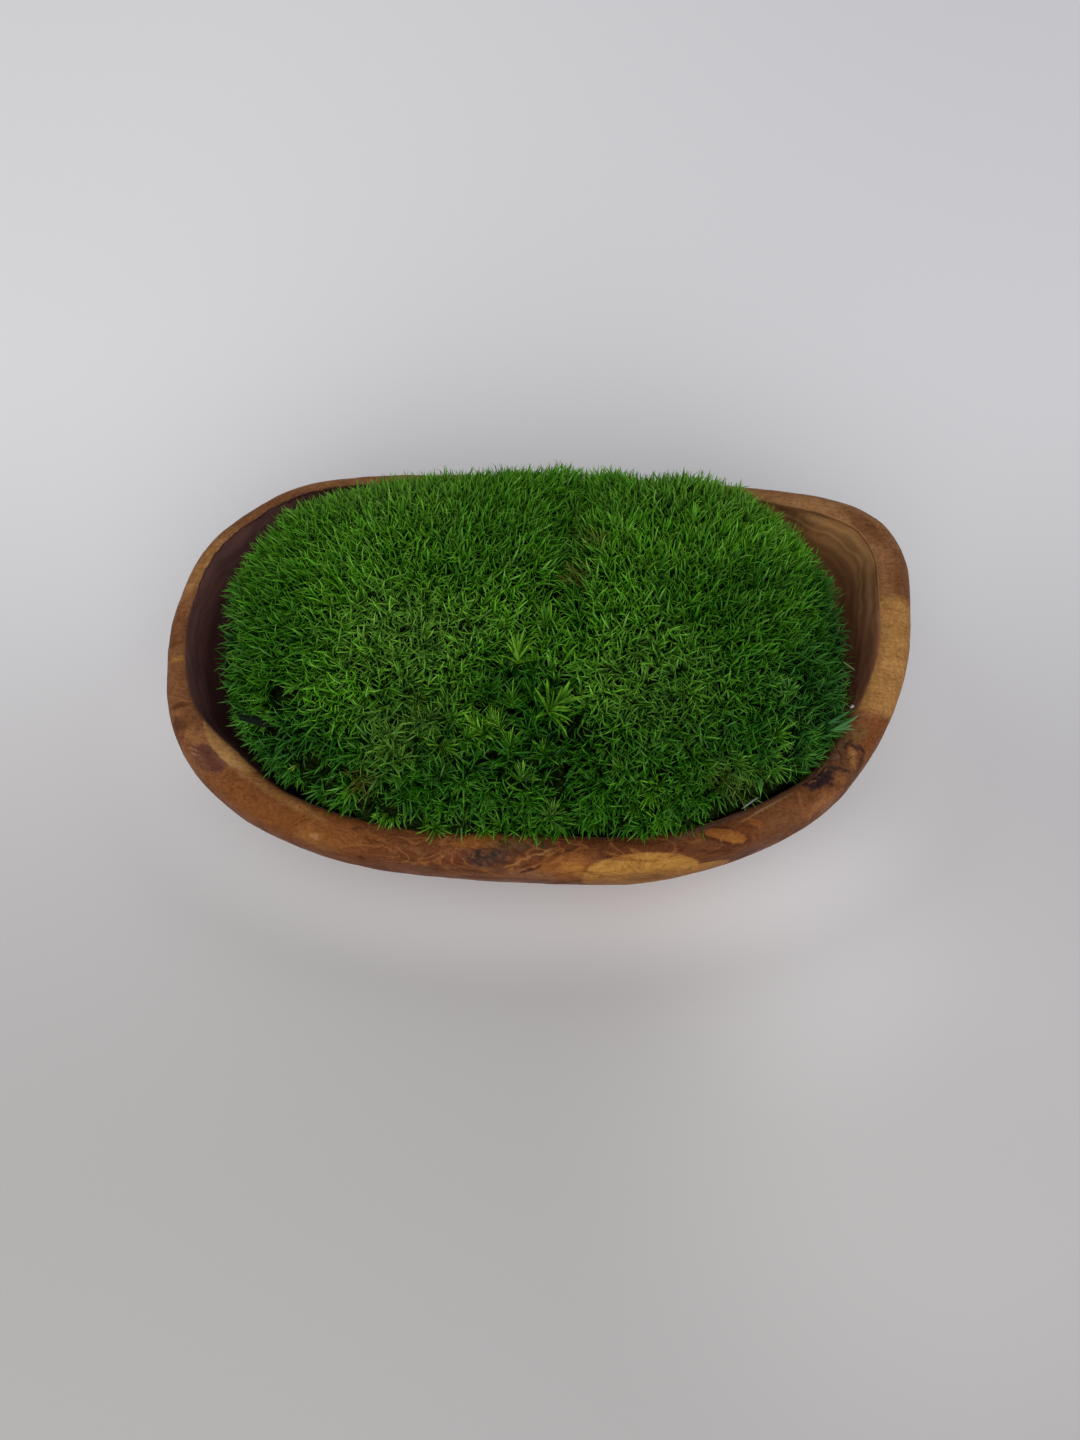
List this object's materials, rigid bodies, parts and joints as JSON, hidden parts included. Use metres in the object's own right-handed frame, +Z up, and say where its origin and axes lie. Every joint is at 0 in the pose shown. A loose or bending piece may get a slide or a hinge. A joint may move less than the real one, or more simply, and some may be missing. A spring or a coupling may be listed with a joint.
{
  "type": "cushion moss in a carved wooden bowl",
  "caption": "Domed living moss cushions pressed together in a shallow, flat-footed wooden bowl with a rounded natural-edge rim.",
  "frame": {"origin": "centre of the bowl's footprint box, on the surface it stands on", "axes": "+X along the bowl's length towards its blunt end, +Y across it away from the viewer, +Z up out of the moss"},
  "size_m": [0.24, 0.1412, 0.0939],
  "materials": {
    "wood": "satin",
    "soil": "matte",
    "cushion_moss": "matte",
    "star_moss": "matte"
  },
  "bodies": {
    "root": {"wooden_bowl": "wood", "soil_bed": "soil", "moss_cushion_left": "cushion_moss", "moss_cushion_right": "cushion_moss", "star_moss_seam": "star_moss", "star_moss_front_left": "star_moss", "star_moss_front_right": "star_moss"}
  },
  "joints": []
}
